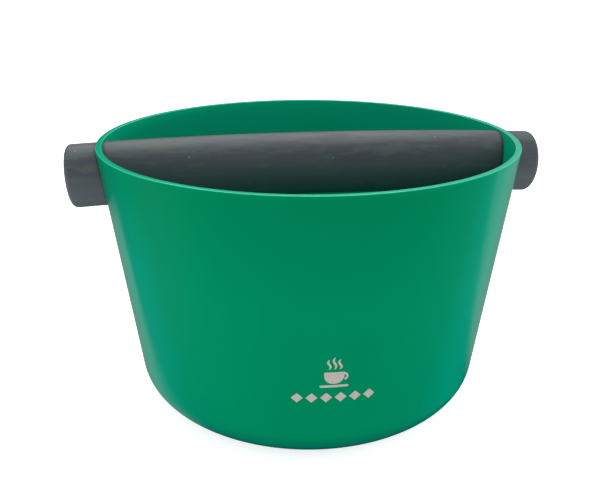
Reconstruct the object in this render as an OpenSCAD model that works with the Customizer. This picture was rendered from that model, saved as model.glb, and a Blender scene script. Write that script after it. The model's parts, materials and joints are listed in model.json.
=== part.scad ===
// Espresso knock box: a round tapered bucket with an arched, rubber-covered bar
// that runs through two holes close under the rim.
// Millimetres. +Z is up, the bar runs along X, and the origin is the centre of the
// plane that the box stands on. The bar slides out sideways along its own arch.

/* [Bucket] */
// Outside diameter at the rim
rim_d = 156; // [146:1:170]
// Outside diameter that the straight wall would reach at the underside
base_d = 134.4; // [124:0.2:140]
// Height from the underside to the top of the rim
bucket_h = 99.4; // [88:0.2:112]
// Thickness of the side wall
wall_t = 2.2; // [2:0.1:3]
// Thickness of the floor
floor_t = 3; // [2.6:0.1:4]
// Outside radius where the wall turns into the floor
corner_r = 13.4; // [10:0.2:16]
// Radius on both edges of the rim
rim_edge_r = 0.4; // [0.3:0.1:0.7]
// Width of the strip of rim left above each bar hole
hole_web = 0.8; // [0.8:0.1:4]

/* [Bar] */
// Outside diameter of the rubber sleeve
bar_d = 23.6; // [20:0.2:26]
// How far each end stands out past the rim
bar_overhang = 11; // [6:0.2:14]
// How much higher the middle of the bar is than its ends
bar_rise = 2.1; // [1.6:0.1:4]
// Radius on the edge of each end
bar_edge_r = 1.8; // [0.8:0.1:2.4]
// Diameter of the steel core
core_d = 10; // [8:0.5:12]
// Radial gap between the bar and its holes
hole_gap = 0.05; // [0.02:0.01:0.1]

/* [End plugs] */
// Diameter of the plug's head
plug_head_d = 15; // [14:0.2:16]
// Thickness of the plug's head
plug_head_t = 2; // [1.5:0.1:2.5]
// Length of the plug's stem behind the head
plug_stem_l = 7; // [5:0.5:9]

/* [Foot ring] */
// Mean diameter of the ring
ring_d = 98; // [80:1:100]
// Width of the ring
ring_w = 4; // [3:0.1:5]
// Depth of the groove that holds the ring
groove_depth = 1.4; // [1:0.1:1.6]
// How far the ring stands below the bucket's underside
ring_stand = 1; // [0.6:0.1:1.6]

/* [Hidden] */
$fn = 160;

fit_gap = 0.03;      // side gap between pieces pushed together
ring_edge_r = 0.7;   // radius on the ring's two lower edges
gate_d = 12;         // shallow recess around the moulding point under the floor
gate_depth = 0.4;
plug_edge_r = 0.5;   // radius on the edge of the plug's head
end_lift = 0.02;     // lets an end's rounding cross the faces it joins at a slight angle
margin = 1;          // how far a cutting shape runs past what it cuts

rim_r = rim_d / 2;
base_r = base_d / 2;
draft = atan((rim_r - base_r) / bucket_h);
rim_z = ring_stand + bucket_h;

bar_r = bar_d / 2;
hole_r = bar_r + hole_gap;
core_r = core_d / 2;
bore_r = core_r + fit_gap;
bar_half = rim_r + bar_overhang;
arch_r = (bar_half * bar_half + bar_rise * bar_rise) / (2 * bar_rise);
arch_half = asin(bar_half / arch_r);
// The arch's axis crosses the wall at wall_x, and the holes set its height there.
hole_z = rim_z - hole_web - hole_r;
wall_x = base_r + (hole_z - ring_stand) * tan(draft) - wall_t / 2;
hole_tilt = asin(wall_x / arch_r);
arch_z = hole_z - arch_r * cos(hole_tilt);   // height of the arch's centre
core_half = arch_half - (plug_head_t + plug_stem_l + margin) / arch_r * 180 / PI;
past_end = margin / arch_r * 180 / PI;

// Centre of a corner of radius r that touches the height z and the wall, which
// is set in by inset from the outside.
function wall_at(inset, z) = base_r - inset / cos(draft) + z * tan(draft);
function corner_x(inset, z, r) = wall_at(inset, z) - r * (1 - sin(draft)) / cos(draft);

// Half of an upright tapered shape with a rounded lower corner.
module tapered_half(inset, z, r, top) {
    centre = [corner_x(inset, z, r), z + r];
    touch = centre + r * [cos(draft), -sin(draft)];
    polygon([[0, z], [centre[0], z], centre, touch, [wall_at(inset, top), top], [0, top]]);
    translate(centre) circle(r);
}

// Half of the bucket's section, with the underside at height 0.
module bucket_section() {
    difference() {
        tapered_half(0, 0, corner_r, bucket_h - rim_edge_r);
        tapered_half(wall_t, floor_t, corner_r - wall_t, bucket_h);
        translate([-corner_r * 2, -margin]) square([corner_r * 2, bucket_h + 2 * margin]);
        translate([ring_d / 2 - ring_w / 2, -margin]) square([ring_w, groove_depth + margin]);
        translate([-margin, -margin]) square([gate_d / 2 + margin, gate_depth + margin]);
    }
    rim_section();
}

// The rim's rounded top, which covers the end of the straight wall.
module rim_section() {
    z = bucket_h - rim_edge_r;
    inner = wall_at(wall_t, z) + rim_edge_r;
    outer = wall_at(0, z) - rim_edge_r;
    translate([inner, z - rim_edge_r]) square([outer - inner, 2 * rim_edge_r]);
    for (x = [inner, outer]) translate([x, z]) circle(rim_edge_r);
}

// A frame on the arch: z runs along the bar, out of the end on side s.
module on_arch(s, angle) {
    translate([0, 0, arch_z])
        rotate([0, s * angle, 0])
            translate([0, 0, arch_r])
                rotate([0, s * 90, 0])
                    children();
}

// A round rod bent to the arch, reaching half_angle each way from the middle.
module arched_rod(r, half_angle) {
    translate([0, 0, arch_z])
        rotate([90, 0, 0])
            rotate([0, 0, 90 - half_angle])
                rotate_extrude(angle = 2 * half_angle)
                    translate([arch_r, 0]) circle(r);
}

// Cuts the rounding on an end whose face is at z = 0, with the rod below it.
module end_rounding(r, edge) {
    lift = end_lift * edge;
    centre = [r - edge + lift, lift - edge];
    rotate_extrude()
        difference() {
            translate(centre) square([edge + margin, edge + margin]);
            translate(centre) circle(edge);
        }
}

module bucket() {
    color([0, 0.51, 0.35])
        difference() {
            translate([0, 0, ring_stand]) rotate_extrude() bucket_section();
            for (s = [-1, 1])
                on_arch(s, hole_tilt) cylinder(h = 24, r = hole_r, center = true);
        }
}

module foot_ring() {
    w = ring_w / 2 - fit_gap;
    color([0.12, 0.13, 0.14])
        rotate_extrude()
            translate([ring_d / 2, 0]) {
                translate([-w, ring_edge_r]) square([2 * w, ring_stand + groove_depth - ring_edge_r]);
                translate([ring_edge_r - w, 0]) square([2 * (w - ring_edge_r), 2 * ring_edge_r]);
                for (s = [-1, 1])
                    translate([s * (w - ring_edge_r), ring_edge_r]) circle(ring_edge_r);
            }
}

module bar_core() {
    color([0.72, 0.73, 0.75]) arched_rod(core_r, core_half);
}

module bar_sleeve() {
    color([0.33, 0.34, 0.36])
        difference() {
            arched_rod(bar_r, arch_half);
            arched_rod(bore_r, arch_half + past_end);
            for (s = [-1, 1])
                on_arch(s, arch_half) {
                    end_rounding(bar_r, bar_edge_r);
                    translate([0, 0, -plug_head_t]) cylinder(h = plug_head_t + margin, d = plug_head_d);
                }
        }
}

// A plug with its head level with the end of the sleeve on side s.
module end_plug(s) {
    head_r = plug_head_d / 2 - fit_gap;
    color([0.3, 0.31, 0.33])
        on_arch(s, arch_half) {
            translate([0, 0, -plug_head_t - plug_stem_l])
                cylinder(h = plug_stem_l + margin, r = core_r - fit_gap);
            rotate_extrude() {
                translate([0, -plug_head_t]) square([head_r, plug_head_t - plug_edge_r]);
                translate([0, -plug_head_t]) square([head_r - plug_edge_r, plug_head_t]);
                translate([head_r - plug_edge_r, -plug_edge_r]) circle(plug_edge_r);
            }
        }
}

module left_end_plug() {
    end_plug(-1);
}

module right_end_plug() {
    end_plug(1);
}

bucket();
foot_ring();
bar_core();
bar_sleeve();
left_end_plug();
right_end_plug();
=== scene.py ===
import json
import math
from math import cos, pi, radians, sin, tan

import bmesh
import bpy
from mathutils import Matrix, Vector
from mathutils.geometry import delaunay_2d_cdt


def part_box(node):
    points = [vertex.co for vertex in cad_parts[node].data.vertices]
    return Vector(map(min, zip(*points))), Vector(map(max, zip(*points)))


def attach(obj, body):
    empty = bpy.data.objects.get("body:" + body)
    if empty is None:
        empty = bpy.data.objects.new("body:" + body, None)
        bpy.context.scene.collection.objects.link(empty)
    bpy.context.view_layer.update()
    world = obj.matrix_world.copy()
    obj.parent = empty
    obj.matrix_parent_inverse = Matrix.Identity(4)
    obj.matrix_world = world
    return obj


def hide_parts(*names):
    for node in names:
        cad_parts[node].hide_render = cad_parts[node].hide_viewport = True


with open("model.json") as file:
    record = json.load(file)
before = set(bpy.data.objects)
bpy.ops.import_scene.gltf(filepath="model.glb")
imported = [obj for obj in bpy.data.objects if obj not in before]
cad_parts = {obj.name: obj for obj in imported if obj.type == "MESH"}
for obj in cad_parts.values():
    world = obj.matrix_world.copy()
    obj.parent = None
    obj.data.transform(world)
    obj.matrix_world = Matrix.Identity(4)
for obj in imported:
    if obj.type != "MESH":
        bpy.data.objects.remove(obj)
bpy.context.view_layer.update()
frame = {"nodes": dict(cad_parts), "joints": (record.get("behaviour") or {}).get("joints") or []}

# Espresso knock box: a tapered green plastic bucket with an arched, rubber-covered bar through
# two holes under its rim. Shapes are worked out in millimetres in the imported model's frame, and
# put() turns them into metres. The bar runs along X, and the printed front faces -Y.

MM = 0.001

# ---------------------------------------------------------------- sizes, from the frame

bucket_lo, bucket_hi = (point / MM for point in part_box("bucket"))
sleeve_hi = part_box("bar_sleeve")[1] / MM
ring_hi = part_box("foot_ring")[1] / MM
plug_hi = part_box("right_end_plug")[1] / MM
pull = frame["joints"][0]

UNDER_Z = bucket_lo.z                   # the bucket's underside
RIM_Z = bucket_hi.z
RIM_R = bucket_hi.x
RING_OUT = ring_hi.x
RING_TOP = ring_hi.z
BAR_R = sleeve_hi.y
ARCH_Z = pull["pos_m"][2] / MM          # height of the centre that the bar is bent about
ARCH_R = sleeve_hi.z - BAR_R - ARCH_Z
PLUG_R = plug_hi.y

# ---------------------------------------------------------------- sizes the frame doesn't state

BASE_R = 67.2            # radius that the straight wall would reach at the underside
WALL_T = 2.2
FLOOR_T = 3.0
CORNER_R = 13.4
RIM_EDGE = 0.4           # radius on the rim's edges
HOLE_GAP = 0.05          # radial gap between the bar and its holes
HOLE_EDGE = 0.18         # radius on the holes' edges
BAR_EDGE = 1.8           # radius on the bar's ends
BAR_HALF = 89.0          # half of the bar's length, on its axis
CORE_BORE = 5.03         # radius of the sleeve's bore
PLUG_DEPTH = 2.0         # thickness of the plugs' heads
PUSH_GAP = 0.03          # side clearance of pieces that are pushed together
RING_W = 4.0
GATE_R = 6.0             # recess round the moulding point, under the floor
GATE_DEPTH = 0.4

DRAFT = math.atan((RIM_R - BASE_R) / (RIM_Z - RIM_EDGE - UNDER_Z))
END_ANGLE = math.asin(BAR_HALF / ARCH_R)
HOLE_R = BAR_R + HOLE_GAP


# ---------------------------------------------------------------- small helpers

MERGE = 1e-7             # points closer than this, in metres, are one point


def put(name, verts, faces, body, material, smooth_deg=40):
    """A mesh object from points in millimetres, riding on a CAD body."""
    mesh = bpy.data.meshes.new(name)
    mesh.from_pydata([Vector(v) * MM for v in verts], [], faces)
    bm = bmesh.new()
    bm.from_mesh(mesh)
    loose = [v for v in bm.verts if not v.link_faces]
    bmesh.ops.delete(bm, geom=loose, context="VERTS")
    bmesh.ops.remove_doubles(bm, verts=bm.verts, dist=MERGE)
    bmesh.ops.recalc_face_normals(bm, faces=bm.faces)
    for face in bm.faces:
        face.smooth = True
    for edge in bm.edges:
        edge.smooth = len(edge.link_faces) < 2 or edge.calc_face_angle() < radians(smooth_deg)
    bm.to_mesh(mesh)
    bm.free()
    obj = bpy.data.objects.new(name, mesh)
    bpy.context.scene.collection.objects.link(obj)
    obj.data.materials.append(material)
    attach(obj, body)
    return obj


def ring_faces(rings, around, closed):
    """Quads over rings of points stored one after another, with the last joined to the first if
    closed."""
    quads = []
    for i in range(rings if closed else rings - 1):
        a = i * around
        b = (i + 1) % rings * around
        for j in range(around):
            k = (j + 1) % around
            quads.append((a + j, a + k, b + k, b + j))
    return quads


def arc(centre, r, start, end, steps):
    """Points on an arc in a section, as (radius, height), angles in degrees."""
    out = []
    for i in range(steps + 1):
        t = radians(start + (end - start) * i / steps)
        out.append((centre[0] + r * cos(t), centre[1] + r * sin(t)))
    return out


def line(a, b, steps):
    """Points from a to b, without a and with b."""
    return [tuple(p + (q - p) * i / steps for p, q in zip(a, b)) for i in range(1, steps + 1)]


# ---------------------------------------------------------------- the bucket

COLUMNS = 144            # steps in the half turn that is built, before mirroring
PATCH_COLUMNS = 10       # columns on each side of a hole that its own mesh takes up
PATCH_LOW = 72.0         # height where that mesh starts
PATCH_ROWS = 20
PATCH_RINGS = 6          # rings between that mesh's border and the hole
PATCH_EASE = 0.8         # below 1, these rings are closer together near the hole
EDGE_STEPS = 3           # steps round the holes' edges, and round small edges under the floor
RIM_STEPS = 6            # steps round each of the rim's edges
CORNER_STEPS = 20
INNER_CORNER_STEPS = 18
WALL_STEPS = 24          # rows of the wall below the holes' meshes
FLOOR_STEPS = 14
UNDER_STEPS = 12
SOFT = 0.2               # radius of small edges under the floor

# outline of the moulding point in its recess, as (radius, height above the underside)
GATE_POINT = ((0.0, 0.1), (1.1, 0.1), (1.3, 0.22), (1.35, GATE_DEPTH))


def wall_r(inset, z):
    """Radius of the wall at a height, inset from its outer face."""
    return BASE_R - inset / cos(DRAFT) + (z - UNDER_Z) * tan(DRAFT)


def corner(inset, z, r):
    """Centre of a corner of radius r that touches the height z and the wall."""
    return wall_r(inset, z) - r * (1 - sin(DRAFT)) / cos(DRAFT), z + r


def underside_section():
    """The part of the section from the middle of the underside to the outer corner's start."""
    groove_in = RING_OUT + PUSH_GAP - RING_W
    groove_out = RING_OUT + PUSH_GAP
    pts = [(r, UNDER_Z + height) for r, height in GATE_POINT]
    pts += line(pts[-1], (GATE_R - SOFT, UNDER_Z + GATE_DEPTH), 2)
    pts += arc((GATE_R + SOFT, UNDER_Z + SOFT), SOFT, 180, 270, EDGE_STEPS)
    pts += line(pts[-1], (groove_in - SOFT, UNDER_Z), UNDER_STEPS)
    pts += arc((groove_in - SOFT, UNDER_Z + SOFT), SOFT, 270, 360, EDGE_STEPS)[1:]
    pts += line(pts[-1], (groove_in, RING_TOP), 1)
    pts += line(pts[-1], (groove_out, RING_TOP), 2)
    pts += line(pts[-1], (groove_out, UNDER_Z + SOFT), 1)
    pts += arc((groove_out + SOFT, UNDER_Z + SOFT), SOFT, 180, 270, EDGE_STEPS)[1:]
    return pts


def bucket_section():
    """The section from the middle of the underside, round the rim, to the middle of the floor.
    Returns its points, and the ranges of rows that the hole meshes take up, outside and inside."""
    tilt = math.degrees(DRAFT)
    top = RIM_Z - RIM_EDGE
    inner = wall_r(WALL_T, top)
    pts = underside_section()
    pts += arc(corner(0, UNDER_Z, CORNER_R), CORNER_R, 270, 360 - tilt, CORNER_STEPS)
    pts += line(pts[-1], (wall_r(0, PATCH_LOW), PATCH_LOW), WALL_STEPS)
    outside = len(pts) - 1
    pts += line(pts[-1], (wall_r(0, top), top), PATCH_ROWS)
    pts += arc((wall_r(0, top) - RIM_EDGE, top), RIM_EDGE, 0, 90, RIM_STEPS)[1:]
    pts += arc((inner + RIM_EDGE, top), RIM_EDGE, 90, 180, RIM_STEPS)
    inside = len(pts) - 1
    pts += line(pts[-1], (wall_r(WALL_T, PATCH_LOW), PATCH_LOW), PATCH_ROWS)
    r = CORNER_R - WALL_T
    centre = corner(WALL_T, UNDER_Z + FLOOR_T, r)
    turn = arc(centre, r, 360 - tilt, 270, INNER_CORNER_STEPS)
    pts += line(pts[-1], turn[0], WALL_STEPS)
    pts += turn[1:]
    pts += line(pts[-1], (0.0, UNDER_Z + FLOOR_T), FLOOR_STEPS)
    return pts, (outside, outside + PATCH_ROWS), (inside, inside + PATCH_ROWS)


def on_cone(inset, turn, z):
    """A point on the wall's face at an angle round it and a height."""
    r = wall_r(inset, z)
    return r * cos(turn), r * sin(turn), z


def on_arch(angle, along, r, theta):
    """A point at an angle on the arch, moved along the arch's tangent there, and r away from the
    bar's axis in the direction theta, which is 0 towards +Y and 90 degrees upwards."""
    up = Vector((sin(angle), 0, cos(angle)))
    out = Vector((cos(angle), 0, -sin(angle)))
    middle = Vector((0, 0, ARCH_Z)) + up * ARCH_R
    return middle + Vector((0, 1, 0)) * (r * cos(theta)) + up * (r * sin(theta)) + out * along


SOLVE_STEPS = 20         # more than enough for either search below to settle


def find_hole_angle():
    """The angle on the arch where the bar's axis crosses the middle of the wall."""
    angle = 0.0
    for _ in range(SOLVE_STEPS):
        z = ARCH_Z + ARCH_R * cos(angle)
        angle = math.asin((wall_r(0, z) - WALL_T / 2) / ARCH_R)
    return angle


HOLE_ANGLE = find_hole_angle()


def hole_on_cone(theta, r, inset):
    """How far along the right-hand hole's axis its circle of radius r meets the wall's face."""
    step = 1e-4

    def miss(along):
        p = on_arch(HOLE_ANGLE, along, r, theta)
        return math.hypot(p.x, p.y) - wall_r(inset, p.z)

    along = 0.0
    for _ in range(SOLVE_STEPS):
        along -= miss(along) * step / (miss(along + step) - miss(along))
    return along


def wall_grid(pts, outside, inside, columns):
    """Points and faces of the section swept through the half turn, without the cells that the
    hole meshes take up."""
    across = COLUMNS + 1
    verts = []
    for r, z in pts:
        for c in range(across):
            turn = pi * (c / COLUMNS - 0.5)
            verts.append((r * cos(turn), r * sin(turn), z))
    faces = []
    for row in range(len(pts) - 1):
        cut = any(start <= row < end for start, end in (outside, inside))
        for c in range(COLUMNS):
            if cut and columns[0] <= c < columns[1]:
                continue
            a = row * across + c
            b = a + across
            faces.append((a, a + 1, b + 1, b))
    return verts, faces


def border(rows, columns):
    """The corners on the border of a hole's mesh in order, as (row, column) pairs."""
    first, last = rows
    left, right = columns
    out = [(first, c) for c in range(left, right)]
    out += [(r, right) for r in range(first, last)]
    out += [(last, c) for c in range(right, left, -1)]
    out += [(r, left) for r in range(last, first, -1)]
    return out


def hole_rings(verts, cells, thetas, inset):
    """Adds the points between a border on one face of the wall and the middle of the hole's
    rounded edge. Returns them as rings of indices, with the border first."""
    radius = HOLE_R + HOLE_EDGE
    edge = [on_arch(HOLE_ANGLE, hole_on_cone(t, radius, inset), radius, t) for t in thetas]
    rings = [[r * (COLUMNS + 1) + c for r, c in cells]]

    def add_ring(points):
        rings.append(list(range(len(verts), len(verts) + len(points))))
        verts.extend(points)

    for k in range(1, PATCH_RINGS + 1):
        share = (k / PATCH_RINGS) ** PATCH_EASE
        points = []
        for i, p in zip(rings[0], edge):
            x, y, z = verts[i]
            start = math.atan2(y, x)
            turn = start + (math.atan2(p.y, p.x) - start) * share
            points.append(on_cone(inset, turn, z + (p.z - z) * share))
        add_ring(points)
    into_wall = -1 if inset == 0.0 else 1
    for k in range(1, EDGE_STEPS + 1):
        beta = pi / 2 * k / EDGE_STEPS
        radius = HOLE_R + HOLE_EDGE * (1 - sin(beta))
        drop = into_wall * HOLE_EDGE * (1 - cos(beta))
        places = [(t, hole_on_cone(t, radius, inset) + drop) for t in thetas]
        add_ring([tuple(on_arch(HOLE_ANGLE, along, radius, t)) for t, along in places])
    return rings


def half_bucket():
    """The half of the bucket with x above 0, as points and faces."""
    pts, outside, inside = bucket_section()
    columns = (COLUMNS // 2 - PATCH_COLUMNS, COLUMNS // 2 + PATCH_COLUMNS)
    verts, faces = wall_grid(pts, outside, inside, columns)
    outer_cells = border(outside, columns)
    # rows run upwards outside and downwards inside
    inner_cells = [(inside[1] - (r - outside[0]), c) for r, c in outer_cells]
    centre = on_arch(HOLE_ANGLE, 0, 0, 0)
    thetas = []
    for r, c in outer_cells:
        _, y, z = verts[r * (COLUMNS + 1) + c]
        thetas.append(math.atan2(z - centre.z, y))
    rings = hole_rings(verts, outer_cells, thetas, 0.0)
    rings += hole_rings(verts, inner_cells, thetas, WALL_T)[::-1]
    for a, b in zip(rings, rings[1:]):
        for j in range(len(a)):
            k = (j + 1) % len(a)
            faces.append((a[j], a[k], b[k], b[j]))
    return verts, faces


def build_bucket(material):
    """The bucket's mesh: the half with the right-hand hole, and its mirror image."""
    verts, faces = half_bucket()
    n = len(verts)
    verts += [(-x, y, z) for x, y, z in verts]
    faces += [tuple(n + i for i in reversed(f)) for f in faces]
    shell = put("bucket_shell", verts, faces, "bucket_body", material)
    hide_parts("bucket")
    return shell


# ---------------------------------------------------------------- the bar

AROUND = 96              # points in each ring round the bar
SLEEVE_STEPS = 72
BORE_STEPS = 12
BORE_SHARE = 0.97        # share of the arch that the bore's rings span, inside the plugs' seats
LIP = 0.3                # radius on the edge round a plug's seat
LIP_FLAT = 0.6           # flat ring on the sleeve's end outside that edge
SEAT_GAP = 0.05          # side clearance round a plug's head


def ring_points(angle, along, r):
    """A ring round the bar's axis."""
    return [tuple(on_arch(angle, along, r, 2 * pi * j / AROUND)) for j in range(AROUND)]


def end_stations():
    """The sleeve's right end, from its outside to its bore, as (angle on the arch, offset along
    it, radius)."""
    seat = PLUG_R + SEAT_GAP
    out = []
    for a in range(9, 91, 9):
        along = -BAR_EDGE + BAR_EDGE * sin(radians(a))
        out.append((END_ANGLE, along, BAR_R - BAR_EDGE * (1 - cos(radians(a)))))
    out.append((END_ANGLE, 0.0, seat + LIP + LIP_FLAT))
    for a in range(0, 91, 30):
        along = -LIP * (1 - cos(radians(a)))
        out.append((END_ANGLE, along, seat + LIP * (1 - sin(radians(a)))))
    out.append((END_ANGLE, -PLUG_DEPTH, seat))
    out.append((END_ANGLE, -PLUG_DEPTH, CORE_BORE))
    return out


def sleeve_stations():
    """The sleeve's section along the bar: the outside from left to right, the right end, the bore
    from right to left and the left end."""
    span = END_ANGLE - BAR_EDGE / ARCH_R
    outer = [(span * (2 * i / SLEEVE_STEPS - 1), 0.0, BAR_R) for i in range(SLEEVE_STEPS + 1)]
    right = end_stations()
    span = END_ANGLE * BORE_SHARE
    bore = [(span * (1 - 2 * i / BORE_STEPS), 0.0, CORE_BORE) for i in range(BORE_STEPS + 1)]
    left = [(-angle, -along, r) for angle, along, r in right]
    return outer + right + bore + left[::-1]


def build_sleeve(material):
    """The rubber sleeve, one closed surface that runs round its ends and back through its bore."""
    stations = sleeve_stations()
    verts = []
    for station in stations:
        verts += ring_points(*station)
    faces = ring_faces(len(stations), AROUND, closed=True)
    sleeve = put("rubber_sleeve", verts, faces, "bar", material)
    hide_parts("bar_sleeve")
    return sleeve


PLUG_EDGE = 0.5
PLUG_DISH = 0.35         # how deep the face is dished
PLUG_FLAT = 1.2          # width of the level border round the dish
DISH_RADII = (2, 3.2, 4.4, 5.4)
STEM_GAP = 0.06          # side clearance of the stem in the bore
STEM_L = 7.0
STEM_LEAD = (0.64, 0.6)  # the stem's tapered tip, across and along

# outline of the moulding point in the dish, as (radius, height above the dish's middle)
PLUG_POINT = ((0.0, 0.12), (0.7, 0.1), (0.95, 0.0))


def plug_section():
    """A plug's section from the middle of its face to its stem's tip, as (radius, offset)."""
    dish_r = PLUG_R - PLUG_FLAT
    out = [(r, height - PLUG_DISH) for r, height in PLUG_POINT]
    out += [(r, -PLUG_DISH * (1 - (r / dish_r) ** 2)) for r in (*DISH_RADII, dish_r)]
    out += arc((PLUG_R - PLUG_EDGE, -PLUG_EDGE), PLUG_EDGE, 90, 0, 6)
    stem_r = CORE_BORE - STEM_GAP
    tip = -PLUG_DEPTH - STEM_L
    out += [(PLUG_R, -PLUG_DEPTH), (stem_r, -PLUG_DEPTH), (stem_r, tip + STEM_LEAD[1])]
    out += [(stem_r - STEM_LEAD[0], tip), (0.0, tip)]
    return out


def build_plug(name, node, side, material):
    """A round plug level with the sleeve's end; side is 1 on the right and -1 on the left."""
    section = plug_section()
    verts = []
    for r, along in section:
        verts += ring_points(side * END_ANGLE, side * along, r)
    faces = ring_faces(len(section), AROUND, closed=False)
    plug = put(name, verts, faces, "bar", material)
    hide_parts(node)
    return plug


# ---------------------------------------------------------------- the print

PRINT_OFFSET = -1.2      # how far the print sits to the left of the wall's front line
PRINT_LIFT = 0.04        # ink above the wall
PRINT_SINK = 0.06        # how far each mark reaches into the wall, so that it is a closed solid
CUP_Z = 34.0             # height that the saucer stands on
ROW_Z = 29.9             # height of the row's middle
FILL_STEP = 0.8          # spacing of the points that let a mark follow the wall
FILL_CLEAR = 0.32        # how far those points stay from the mark's outline
SAME_POINT = 1e-5        # points of a mark closer than this are one point
ARC_STEPS = 18
CAP_STEPS = 8
WISP_STEPS = 16
WISP_END = 0.35          # a wisp's width at its ends, as a share of its greatest width


def on_front(u, z, lift):
    """A point on the wall's front, u round it from the print's middle line."""
    r = wall_r(0, z)
    turn = (u + PRINT_OFFSET) / r
    return (r + lift) * sin(turn), -(r + lift) * cos(turn), z


def refined(outline):
    """The outline with points added, so that no side is longer than the fill's spacing."""
    out = []
    for a, b in zip(outline, outline[1:] + outline[:1]):
        steps = max(1, math.ceil(math.dist(a, b) / FILL_STEP))
        out += [a] + line(a, b, steps)[:-1]
    return out


def inside_outline(p, outline):
    """Whether a ray from p towards +x crosses the outline an odd number of times."""
    hit = False
    for (x1, y1), (x2, y2) in zip(outline, outline[1:] + outline[:1]):
        if (y1 > p[1]) != (y2 > p[1]) and p[0] < (x2 - x1) * (p[1] - y1) / (y2 - y1) + x1:
            hit = not hit
    return hit


def fill_points(outline):
    """Points on a square grid inside the outline."""
    left = min(x for x, _ in outline)
    low = min(y for _, y in outline)
    columns = int((max(x for x, _ in outline) - left) / FILL_STEP)
    rows = int((max(y for _, y in outline) - low) / FILL_STEP)
    out = []
    for i in range(1, columns + 1):
        for j in range(1, rows + 1):
            p = (left + i * FILL_STEP, low + j * FILL_STEP)
            near = min(math.dist(p, q) for q in outline)
            if near > FILL_CLEAR and inside_outline(p, outline):
                out.append(p)
    return out


def mark(outline, verts, faces):
    """Adds one closed shape of ink, given as an outline in millimetres round and up the wall."""
    outline = refined(outline)
    points = [Vector(p) for p in outline + fill_points(outline)]
    loop = list(range(len(outline)))
    flat, _, tris, _, _, _ = delaunay_2d_cdt(points, [], [loop], 1, SAME_POINT)
    front = len(verts)
    back = front + len(flat)
    for lift in (PRINT_LIFT, -PRINT_SINK):
        verts.extend(on_front(p.x, p.y, lift) for p in flat)
    for tri in tris:
        faces.append(tuple(front + i for i in tri))
        faces.append(tuple(back + i for i in reversed(tri)))
    edges = [edge for tri in tris for edge in zip(tri, tri[1:] + tri[:1])]
    known = set(edges)
    for a, b in edges:
        if (b, a) not in known:
            faces.append((front + b, front + a, back + a, back + b))


def ring_part(centre, r_out, r_in, start, end):
    """A part of a flat ring, between two angles."""
    return arc(centre, r_out, start, end, ARC_STEPS) + arc(centre, r_in, end, start, ARC_STEPS)


def wisp(x, z, height, width, swing):
    """A rising wisp of steam, thickest in its middle."""
    left, right = [], []
    for i in range(WISP_STEPS + 1):
        t = i / WISP_STEPS
        middle = x + swing * sin(2 * pi * t)
        half = width / 2 * (WISP_END + (1 - WISP_END) * sin(pi * t))
        left.append((middle - half, z + height * t))
        right.append((middle + half, z + height * t))
    return left + right[::-1]


def rounded_bar(x, z, width, height):
    """A level bar with round ends, centred on (x, z)."""
    r = height / 2
    reach = width / 2 - r
    return arc((x + reach, z), r, -90, 90, CAP_STEPS) + arc((x - reach, z), r, 90, 270, CAP_STEPS)


def cup_marks(z):
    """A steaming cup on its saucer, standing on the height z."""
    saucer_w = 9.4
    saucer_h = 0.9
    cup_half = 3.3
    cup_h = 4.6
    foot = z + 1.4
    top = foot + cup_h
    fullness = 0.62      # below 1, the cup is fuller than half an ellipse
    bowl = [(cup_half * cos(radians(a)), top - cup_h * sin(radians(a)) ** fullness)
            for a in range(0, 181, 6)]
    handle_at = (cup_half - 0.25, foot + cup_h * 0.62)
    handle = ring_part(handle_at, r_out=1.55, r_in=0.85, start=-78, end=90)
    marks = [bowl, handle, rounded_bar(0, z + saucer_h / 2, saucer_w, saucer_h)]
    for x, height in ((-1.75, 3.8), (0, 4.6), (1.75, 3.8)):
        marks.append(wisp(x, top + 1.1, height, width=0.85, swing=0.42))
    return marks


def lozenge_marks(z, count=6, pitch=4.75, half=1.95):
    """A plain row of diamonds centred on the height z."""
    marks = []
    for i in range(count):
        x = (i - (count - 1) / 2) * pitch
        marks.append([(x - half, z), (x, z - half), (x + half, z), (x, z + half)])
    return marks


def build_print(name, marks, material):
    """One piece of ink on the wall's front, made of a list of outlines."""
    verts, faces = [], []
    for outline in marks:
        mark(outline, verts, faces)
    return put(name, verts, faces, "bucket_body", material, smooth_deg=30)


# ---------------------------------------------------------------- materials

NOISE_RANGE = (0.3, 0.7)    # where most of a noise texture's values lie


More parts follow.
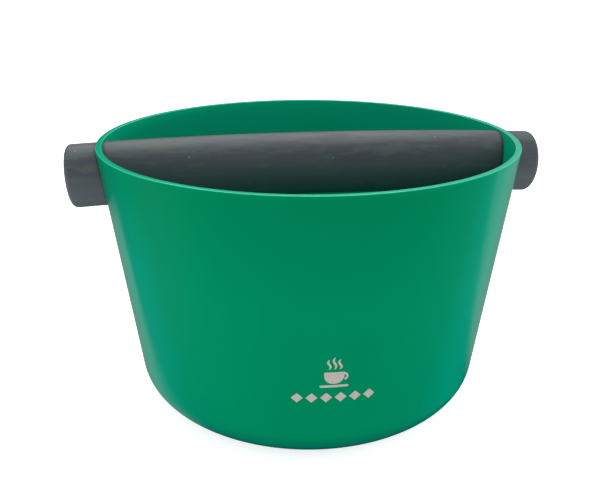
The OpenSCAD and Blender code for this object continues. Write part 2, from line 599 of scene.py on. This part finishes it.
class Nodes:
    """Short calls for building one node material. Places are in metres in the object's frame."""

    def __init__(self, name):
        self.material = bpy.data.materials.new(name)
        self.material.use_nodes = True
        self.tree = self.material.node_tree
        self.bsdf = self.tree.nodes["Principled BSDF"]
        self.where = self.add("ShaderNodeTexCoord").outputs["Object"]

    def add(self, kind, **values):
        node = self.tree.nodes.new(kind)
        for key, value in values.items():
            setattr(node, key, value)
        return node

    def link(self, output, slot):
        self.tree.links.new(output, slot)

    def feed(self, slot, value):
        """Sets an input to a number or a colour, or links it to an output."""
        if isinstance(value, (int, float)):
            slot.default_value = value
        elif isinstance(value, tuple):
            slot.default_value = (*value, 1.0)
        else:
            self.link(value, slot)

    def set(self, **values):
        """Feeds inputs of the surface shader, and returns the material."""
        for key, value in values.items():
            self.feed(self.bsdf.inputs[key.replace("_", " ")], value)
        return self.material

    def normal(self):
        return self.add("ShaderNodeNewGeometry").outputs["Normal"]

    def xyz(self, vector):
        """A vector's parts, under the names X, Y and Z."""
        node = self.add("ShaderNodeSeparateXYZ")
        self.link(vector, node.inputs[0])
        return node.outputs

    def pair(self, operation, a, b):
        """The dot product or the distance of two vectors."""
        node = self.add("ShaderNodeVectorMath", operation=operation)
        self.link(a, node.inputs[0])
        self.link(b, node.inputs[1])
        return node.outputs["Value"]

    def stretched(self, x, y, z):
        """Places for a texture that is drawn out along the axes with numbers below 1."""
        node = self.add("ShaderNodeMapping")
        node.inputs["Scale"].default_value = (x, y, z)
        self.link(self.where, node.inputs["Vector"])
        return node.outputs["Vector"]

    def noise(self, scale, detail=4.0, rough=0.55, vector=None):
        node = self.add("ShaderNodeTexNoise")
        node.inputs["Scale"].default_value = scale
        node.inputs["Detail"].default_value = detail
        node.inputs["Roughness"].default_value = rough
        self.link(vector or self.where, node.inputs["Vector"])
        return node.outputs["Fac"]

    def spread(self, value, low, high, to_low=0.0, to_high=1.0):
        """Maps the range low to high onto to_low to to_high, and stays level beyond it."""
        node = self.add("ShaderNodeMapRange")
        names = ("From Min", "From Max", "To Min", "To Max")
        for key, number in zip(names, (low, high, to_low, to_high)):
            node.inputs[key].default_value = number
        self.link(value, node.inputs["Value"])
        return node.outputs["Result"]

    def vary(self, noise, to_low=0.0, to_high=1.0):
        """Maps a noise onto to_low to to_high."""
        return self.spread(noise, *NOISE_RANGE, to_low, to_high)

    def math(self, operation, a, b=0):
        node = self.add("ShaderNodeMath", operation=operation)
        self.feed(node.inputs[0], a)
        self.feed(node.inputs[1], b)
        return node.outputs[0]

    def times(self, first, *others):
        for other in others:
            first = self.math("MULTIPLY", first, other)
        return first

    def mix(self, factor, a, b):
        """The colour a where the factor is 0, and b where it is 1."""
        node = self.add("ShaderNodeMix", data_type="RGBA")
        for slot, value in zip((node.inputs[0], node.inputs[6], node.inputs[7]), (factor, a, b)):
            self.feed(slot, value)
        return node.outputs[2]

    def bump(self, height, distance, strength, normal=None):
        """A surface normal from a height; distance, in metres, is how far apart 0 and 1 are."""
        node = self.add("ShaderNodeBump")
        node.inputs["Strength"].default_value = strength
        node.inputs["Distance"].default_value = distance
        self.link(height, node.inputs["Height"])
        if normal:
            self.link(normal, node.inputs["Normal"])
        return node.outputs["Normal"]


def green_tint(n, facing, inside):
    """The plastic's colour: deeper towards the rim; bluer inside, painted to offset the green light
    bounced there; a painted sheen, bluer and paler, where it turns away; a painted highlight on the
    rim's top; and a brighter painted highlight in a line along the rim's edges."""
    green = ((0.0, 0.380, 0.158), (0.0, 0.405, 0.169))
    deep = (0.0, 0.335, 0.135)
    painted_sheen_blue = (0.0, 0.350, 0.225)
    painted_sheen_pale = (0.0, 0.50, 0.30)
    bounce_offset_blue = (0.0, 0.400, 0.205)
    painted_rim_highlight = (0.0, 0.58, 0.30)
    painted_edge_highlight = (0.07, 0.82, 0.50)
    place = n.xyz(n.where)
    up = n.xyz(n.normal())["Z"]

    tint = n.mix(n.vary(n.noise(22, 3)), *green)
    tint = n.mix(n.spread(place["Z"], 0.6 * RIM_Z * MM, RIM_Z * MM), tint, deep)
    low = n.spread(place["Z"], 0.65 * RIM_Z * MM, 0.95 * RIM_Z * MM, 1.0, 0.25)
    sheen_low_or_right = n.math("MAXIMUM", low, n.spread(place["X"], 0.0, 0.5 * RIM_R * MM))
    # painted sheen where the wall turns away, strongest low down and on the right
    tint = n.mix(n.times(n.spread(facing, 0.3, 0.85, 0.0, 0.8), sheen_low_or_right), tint, painted_sheen_blue)
    tint = n.mix(n.times(n.spread(facing, 0.5, 0.75), sheen_low_or_right), tint, painted_sheen_pale)
    # painted light: bluer inside, to offset the green light that bounces there
    tint = n.mix(inside, tint, bounce_offset_blue)
    # painted highlight on the rim's upward faces, where the top light falls
    wear_and_highlight = n.times(n.spread(place["Z"], (RIM_Z - 0.5) * MM, (RIM_Z - 0.15) * MM),
                   n.spread(up, 0.55, 0.95),
                   n.vary(n.noise(60, 4), 0.8, 1.0))
    tint = n.mix(wear_and_highlight, tint, painted_rim_highlight)
    # painted highlight in a line along the rim's rounded edges
    edge_highlight_mask = n.times(n.spread(up, 0.7, 0.85),
                  n.spread(up, 0.93, 0.99, 1.0, 0.0),
                  n.spread(place["Z"], (RIM_Z - RIM_EDGE) * MM, (RIM_Z - 0.3) * MM))
    return n.mix(edge_highlight_mask, tint, painted_edge_highlight)


def green_plastic():
    """Satin green ABS: a fine moulded grain, under a smoother skin that shows where the outside
    turns away."""
    n = Nodes("green_plastic")
    facing = n.add("ShaderNodeLayerWeight").outputs["Facing"]
    inside = n.spread(n.pair("DOT_PRODUCT", n.normal(), n.where), -0.03, 0.0, 1.0, 0.0)
    grain = n.noise(2600, 2, 0.6)
    flow = n.noise(60, 3, 0.5, n.stretched(1, 1, 0.25))
    scuffs = n.noise(900, 5, 0.7, n.stretched(0.08, 0.9, 1.0))
    rough = n.math("ADD", n.vary(flow, 0.30, 0.36), n.vary(grain, -0.03, 0.03))
    rough = n.math("ADD", rough, n.spread(scuffs, 0.62, 0.72, 0.0, 0.10))
    fine = n.bump(grain, 0.00002, 0.35)
    relief = n.bump(n.noise(28, 2), 0.0004, 0.10, fine)
    skin = n.times(n.spread(facing, 0.35, 0.7, 0.1, 1.0),
                   n.spread(facing, 0.85, 1.0, 1.0, 0.45),
                   n.math("SUBTRACT", 1.0, inside))
    n.set(Base_Color=green_tint(n, facing, inside), Roughness=rough, Normal=relief)
    n.set(Coat_Weight=skin, Coat_IOR=1.5, Coat_Roughness=n.vary(flow, 0.08, 0.14))
    return n.set(IOR=1.46, Specular_IOR_Level=0.05)


def gap_shade(n, along):
    """Painted shade's mask: 1 in narrow gaps, such as where the bar goes through the wall, and less
    between the walls.
    """
    gap = n.add("ShaderNodeAmbientOcclusion", samples=8, only_local=False)
    gap.inputs["Distance"].default_value = 0.0014
    outer = n.spread(along, (RIM_R - 2) * MM, (RIM_R - 1) * MM, 0.55, 1.0)
    return n.times(n.spread(gap.outputs["AO"], 0.55, 0.95, 1.0, 0.0), outer)


def specks(n):
    """1 in small dots that are spread over the surface."""
    dots = n.add("ShaderNodeTexVoronoi")
    dots.inputs["Scale"].default_value = 150
    n.link(n.where, dots.inputs["Vector"])
    return n.spread(dots.outputs["Distance"], 0.03, 0.06, 1.0, 0.0)


def rubber_tint(n, cloud, streak):
    """The rubber's colour: a mottled film of dust on top, painted less green underneath between the
    walls to offset the green light bounced there, pale scuffs and specks, painted shade in narrow
    gaps, and nearly black in reflections."""
    base = ((0.080, 0.080, 0.092), (0.097, 0.097, 0.109))
    dust = ((0.120, 0.125, 0.109), (0.099, 0.126, 0.116))
    bounce_offset_purple = (0.145, 0.095, 0.150)
    scuff_grey = (0.22, 0.23, 0.24)
    speck_grey = (0.34, 0.36, 0.38)
    painted_gap_shadow = (0.004, 0.016, 0.012)
    gloss_dark = (0.0, 0.004, 0.003)
    up = n.xyz(n.normal())["Z"]
    along = n.math("ABSOLUTE", n.xyz(n.where)["X"])

    tint = n.mix(n.vary(cloud), *base)
    blotch = n.noise(240, 7, 0.75, n.stretched(0.2, 1.0, 1.0))
    film = n.math("ADD", up, n.spread(blotch, 0.40, 0.60, -0.75, 0.75))
    film_tint = n.mix(n.spread(n.noise(90, 3), 0.4, 0.6), *dust)
    tint = n.mix(n.spread(film, 0.45, 1.15, 0.0, 0.9), tint, film_tint)
    # painted light: purple under the bar between the walls, offsetting the green light bounced
    # there
    bounce_offset_mask = n.times(n.spread(up, -0.9, -0.3, 0.8, 0.0),
                    n.spread(along, (RIM_R - 6) * MM, (RIM_R - 3) * MM, 1.0, 0.0))
    tint = n.mix(bounce_offset_mask, tint, bounce_offset_purple)
    tint = n.mix(n.times(streak, 0.12), tint, scuff_grey)
    tint = n.mix(n.times(specks(n), 0.6), tint, speck_grey)
    # painted shade: darkest where the rubber meets the wall
    tint = n.mix(gap_shade(n, along), tint, painted_gap_shadow)
    in_gloss = n.add("ShaderNodeLightPath").outputs["Is Glossy Ray"]
    return n.mix(n.times(in_gloss, 0.9), tint, gloss_dark)


def bar_rubber():
    """Dark matt rubber with a fine grain, a little rougher in the scuffs along it."""
    n = Nodes("bar_rubber")
    cloud = n.noise(160, 4, 0.6, n.stretched(0.12, 1.0, 1.0))
    streak = n.spread(n.noise(700, 5, 0.7, n.stretched(0.05, 1.0, 1.0)), 0.58, 0.75)
    rough = n.math("ADD", n.vary(cloud, 0.50, 0.60), n.times(streak, 0.12))
    fine = n.bump(n.noise(2100, 3, 0.6), 0.00003, 0.5)
    relief = n.bump(cloud, 0.0004, 0.12, fine)
    n.set(Base_Color=rubber_tint(n, cloud, streak), Roughness=rough, Normal=relief)
    return n.set(Specular_IOR_Level=0.5)


def foot_rubber():
    """Nearly black rubber with a coarse grain."""
    n = Nodes("foot_rubber")
    cloud = n.noise(300, 4, 0.6)
    tint = n.mix(n.vary(cloud), (0.018, 0.019, 0.021), (0.034, 0.035, 0.038))
    grain = n.bump(n.noise(3000, 3, 0.6), 0.00004, 0.6)
    return n.set(Base_Color=tint, Roughness=n.vary(cloud, 0.62, 0.78), Normal=grain)


def steel():
    """Drawn steel with fine lines along it."""
    n = Nodes("steel")
    lines = n.noise(2500, 4, 0.6, n.stretched(0.03, 1.0, 1.0))
    tint = n.mix(n.vary(lines), (0.45, 0.46, 0.48), (0.6, 0.61, 0.62))
    fine = n.bump(lines, 0.00001, 0.4)
    return n.set(Base_Color=tint, Metallic=1.0, Roughness=n.vary(lines, 0.25, 0.4), Normal=fine)


def print_ink():
    """Pale, slightly grainy ink, worn through here and there to the green below."""
    n = Nodes("print_ink")
    grain = n.noise(2200, 3, 0.7)
    tint = n.mix(n.spread(grain, 0.35, 0.7), (0.82, 0.71, 0.62), (0.95, 0.83, 0.73))
    wear_and_highlight = n.spread(n.noise(1300, 4, 0.7), 0.66, 0.78)
    tint = n.mix(n.times(wear_and_highlight, 0.35), tint, (0.10, 0.30, 0.20))
    fine = n.bump(grain, 0.00002, 0.4)
    return n.set(Base_Color=tint, Roughness=n.vary(grain, 0.42, 0.6), Normal=fine)


# ---------------------------------------------------------------- stage, light and camera

CAMERA_AZIMUTH = -7.38
CAMERA_ELEVATION = 22.17
CAMERA_DISTANCE = 0.27326
CAMERA_TARGET = Vector((-0.00293, 0.00038, 0.05284))
CAMERA_LENS = 40.28
SENSOR = 36.0
CAMERA_CLIP = (0.01, 50.0)

FLOOR_HALF = 6.0
FLOOR_GAP = 0.0001       # keeps the floor's face clear of the foot ring's
FLOOR_LIFT = 0.72        # keeps the floor white for the camera, and its shadow faint
NEAR_BOUNCE = 0.065      # how pale the floor is for light that comes back off it
FAR_BOUNCE = (0.42, 0.47, 0.55)
SIDE_BOUNCE = (0.80, 0.88, 0.96)    # under the ends of the bar
FAR_GLOSS = 0.20         # how bright the far side is in reflections
FAR_RIGHT = (0.20, -0.032)          # the far side's near edges, as slope and offset of a line
FAR_LEFT = (-1.15, -0.112)
FAR_SOFT = 0.008                    # how soft those edges are
# the sheet is a painted reflection that glows only in reflections, and the dark patch is a painted
# shadow in the floor's bounce light
SHEET = (0.14, 0.35, 0.40)          # x of the bright sheet's middle, and the radii where it ends
SHADE = (0.0, 0.085, 0.14)          # the same for the dark patch under the object
SIDE_X = (0.075, 0.11)              # distances over which the floor under the bar's ends turns
SIDE_Y = (0.04, 0.08)               # bright, and then dark again in front of and behind them
WORLD_LIGHT = 0.67
WORLD_TINT = (0.92, 1.0, 1.12)
GLOSS_RISE = (3.0, 0.0, 6.0)        # direction in which reflections see the world brighten
GLOSS_RANGE = (1.2, 2.4, 0.0, 0.28)     # range along it, and the strengths that it maps onto

# name, azimuth and elevation in degrees, distance, width and height in metres, power in watts,
# and whether it shows in reflections
SOFT_BOXES = (
    ("front_box", -10, 2, 1.6, 1.6, 0.15, 4.7, False),
    ("left_box", -75, -1, 1.0, 0.6, 0.12, 2.2, False),
    ("right_box", 65, 2, 1.0, 0.6, 0.12, 1.3, False),
    ("left_back_box", -115, -1, 1.0, 0.6, 0.12, 2.6, False),
    ("right_back_box", 105, 2, 1.0, 0.6, 0.12, 5.0, False),
    ("right_high_box", 90, 45, 1.0, 0.6, 0.6, 0.3, False),
    ("back_box", 180, 55, 1.2, 1.0, 0.8, 7.4, True),
)
LIGHT_AIM = Vector((0, 0, 0.05))

# small lights that brighten the undersides of the bar's ends
KICKER_SIZE = 0.08
KICKER_POWER = 0.08
KICKER_TINT = (0.8, 1.0, 1.0)
KICKER_AT = (0.135, -0.05, 0.02)


def back_vector(azimuth, elevation):
    """The direction from the object to a viewer or a light; azimuth 0 is in front."""
    a = radians(azimuth)
    e = radians(elevation)
    return Vector((sin(a) * cos(e), -cos(a) * cos(e), sin(e)))


def stand(name, data, location, direction):
    """A camera or a light at a place, looking along a direction."""
    thing = bpy.data.objects.new(name, data)
    bpy.context.scene.collection.objects.link(thing)
    thing.location = location
    thing.rotation_mode = "QUATERNION"
    thing.rotation_quaternion = direction.to_track_quat("-Z", "Y")
    return thing


def build_camera():
    """The camera that was fitted to the photo."""
    data = bpy.data.cameras.new("camera")
    data.lens = CAMERA_LENS
    data.sensor_width = SENSOR
    data.clip_start, data.clip_end = CAMERA_CLIP
    back = back_vector(CAMERA_AZIMUTH, CAMERA_ELEVATION)
    camera = stand("camera", data, CAMERA_TARGET + back * CAMERA_DISTANCE, -back)
    bpy.context.scene.camera = camera


def area_light(name, azimuth, elevation, distance, width, height, power, shines):
    """A soft box that faces the middle of the object."""
    data = bpy.data.lights.new(name, "AREA")
    data.shape = "RECTANGLE"
    data.size = width
    data.size_y = height
    data.energy = power
    back = back_vector(azimuth, elevation)
    light = stand(name, data, LIGHT_AIM + back * distance, -back)
    light.visible_camera = False
    light.visible_glossy = shines


def kicker(name, side, lit):
    """A small low light beside the box that only reaches the pieces in lit."""
    data = bpy.data.lights.new(name, "AREA")
    data.size = KICKER_SIZE
    data.energy = KICKER_POWER
    data.color = KICKER_TINT
    x, y, z = KICKER_AT
    location = Vector((side * x, y, z))
    bar_end = Vector((side * (BAR_HALF - BAR_R / 2), 0, RIM_Z - 2 * BAR_R)) * MM
    light = stand(name, data, location, bar_end - location)
    light.visible_camera = False
    light.visible_glossy = False
    light.light_linking.receiver_collection = lit


def beyond(n, place, slope, offset):
    """1 on the far side of the line y = slope * x + offset, and 0 on its near side."""
    rise = n.math("SUBTRACT", place["Y"], n.times(place["X"], slope))
    return n.spread(n.math("SUBTRACT", rise, offset), -FAR_SOFT, FAR_SOFT)


def round_patch(n, centre_x, inner, outer):
    """0 inside the radius inner, and 1 outside the radius outer."""
    centre = n.add("ShaderNodeCombineXYZ")
    centre.inputs["X"].default_value = centre_x
    return n.spread(n.pair("DISTANCE", n.where, centre.outputs[0]), inner, outer)


def see_through_below(n, path):
    """Lets the camera, and all light that has passed the floor before, through from below."""
    backface = n.add("ShaderNodeNewGeometry").outputs["Backfacing"]
    from_below = n.times(backface, path["Is Camera Ray"])
    passed = n.math("GREATER_THAN", path["Transparent Depth"], 0.5)
    cut = n.add("ShaderNodeMixShader")
    n.link(n.math("MAXIMUM", from_below, passed), cut.inputs[0])
    n.link(n.bsdf.outputs[0], cut.inputs[1])
    n.link(n.add("ShaderNodeBsdfTransparent").outputs[0], cut.inputs[2])
    n.link(cut.outputs[0], n.tree.nodes["Material Output"].inputs["Surface"])


def floor_material():
    """Pale paper. The camera sees it white from above, with a faint shadow, and sees through it
    from below. Light that comes back off it is dim on the near side and bright on the far side and
    under the bar's ends."""
    n = Nodes("floor_white")
    path = n.add("ShaderNodeLightPath").outputs
    place = n.xyz(n.where)
    far = n.times(beyond(n, place, *FAR_RIGHT), beyond(n, place, *FAR_LEFT))
    beside = n.times(n.spread(n.math("ABSOLUTE", place["X"]), *SIDE_X),
                     n.spread(n.math("ABSOLUTE", place["Y"]), *SIDE_Y, 1.0, 0.0))

    bounce = n.mix(n.times(far, round_patch(n, *SHADE)), (NEAR_BOUNCE,) * 3, FAR_BOUNCE)
    bounce = n.mix(beside, bounce, SIDE_BOUNCE)
    bounce = n.mix(path["Is Diffuse Ray"], (0.0, 0.0, 0.0), bounce)
    pale = n.mix(n.noise(3, 2), (0.90, 0.90, 0.90), (0.92, 0.92, 0.92))
    tint = n.mix(path["Is Camera Ray"], bounce, pale)
    n.set(Base_Color=tint, Roughness=0.8, Specular_IOR_Level=0.0)

    sheen = n.times(far, n.math("SUBTRACT", 1.0, round_patch(n, *SHEET)))
    glow = n.math("ADD", n.times(path["Is Glossy Ray"], sheen, FAR_GLOSS),
                  n.times(path["Is Camera Ray"], FLOOR_LIFT))
    n.set(Emission_Color=(1.0, 1.0, 1.0), Emission_Strength=glow)
    n.material.cycles.emission_sampling = "NONE"
    see_through_below(n, path)
    return n.material


def build_floor():
    """A large square that the object stands on."""
    mesh = bpy.data.meshes.new("floor")
    half = FLOOR_HALF
    z = -FLOOR_GAP
    corners = [(-half, -half, z), (half, -half, z), (half, half, z), (-half, half, z)]
    mesh.from_pydata(corners, [], [(0, 1, 2, 3)])
    floor = bpy.data.objects.new("floor", mesh)
    bpy.context.scene.collection.objects.link(floor)
    floor.data.materials.append(floor_material())


def world_shine(tree):
    """The world's strength in reflections, brighter towards the right and overhead."""
    rise = tree.nodes.new("ShaderNodeVectorMath")
    rise.operation = "DOT_PRODUCT"
    rise.inputs[1].default_value = GLOSS_RISE
    where = tree.nodes.new("ShaderNodeTexCoord").outputs["Generated"]
    tree.links.new(where, rise.inputs[0])
    shine = tree.nodes.new("ShaderNodeMapRange")
    for key, value in zip(("From Min", "From Max", "To Min", "To Max"), GLOSS_RANGE):
        shine.inputs[key].default_value = value
    tree.links.new(rise.outputs["Value"], shine.inputs["Value"])
    return shine.outputs["Result"]


def build_world():
    """White for the camera, dimmer and bluer for the light that it casts, and dimmer again in
    reflections."""
    world = bpy.data.worlds.new("studio")
    bpy.context.scene.world = world
    world.use_nodes = True
    tree = world.node_tree
    path = tree.nodes.new("ShaderNodeLightPath").outputs
    background = tree.nodes["Background"].inputs

    tint = tree.nodes.new("ShaderNodeMix")
    tint.data_type = "RGBA"
    tint.inputs[6].default_value = (*WORLD_TINT, 1.0)
    tint.inputs[7].default_value = (1, 1, 1, 1)
    tree.links.new(path["Is Camera Ray"], tint.inputs[0])
    tree.links.new(tint.outputs[2], background["Color"])

    reflected = tree.nodes.new("ShaderNodeMix")
    reflected.inputs["A"].default_value = WORLD_LIGHT
    tree.links.new(path["Is Glossy Ray"], reflected.inputs["Factor"])
    tree.links.new(world_shine(tree), reflected.inputs["B"])
    seen = tree.nodes.new("ShaderNodeMix")
    seen.inputs["B"].default_value = 1.0
    tree.links.new(path["Is Camera Ray"], seen.inputs["Factor"])
    tree.links.new(reflected.outputs["Result"], seen.inputs["A"])
    tree.links.new(seen.outputs["Result"], background["Strength"])


# ---------------------------------------------------------------- build everything

build_bucket(green_plastic())
rubber = bar_rubber()
bar = [build_sleeve(rubber)]
bar.append(build_plug("left_plug", "left_end_plug", -1, rubber))
bar.append(build_plug("right_plug", "right_end_plug", 1, rubber))
ink = print_ink()
build_print("print_cup", cup_marks(CUP_Z), ink)
build_print("print_row", lozenge_marks(ROW_Z), ink)
for node, material in (("foot_ring", foot_rubber()), ("bar_core", steel())):
    for slot in frame["nodes"][node].material_slots:
        slot.material = material

build_camera()
build_world()
build_floor()
for box in SOFT_BOXES:
    area_light(*box)
bar_pieces = bpy.data.collections.new("bar_pieces")
for piece in bar:
    bar_pieces.objects.link(piece)
kicker("left_kicker", -1, bar_pieces)
kicker("right_kicker", 1, bar_pieces)

view = bpy.context.scene.view_settings
view.view_transform = "Standard"
view.look = "None"
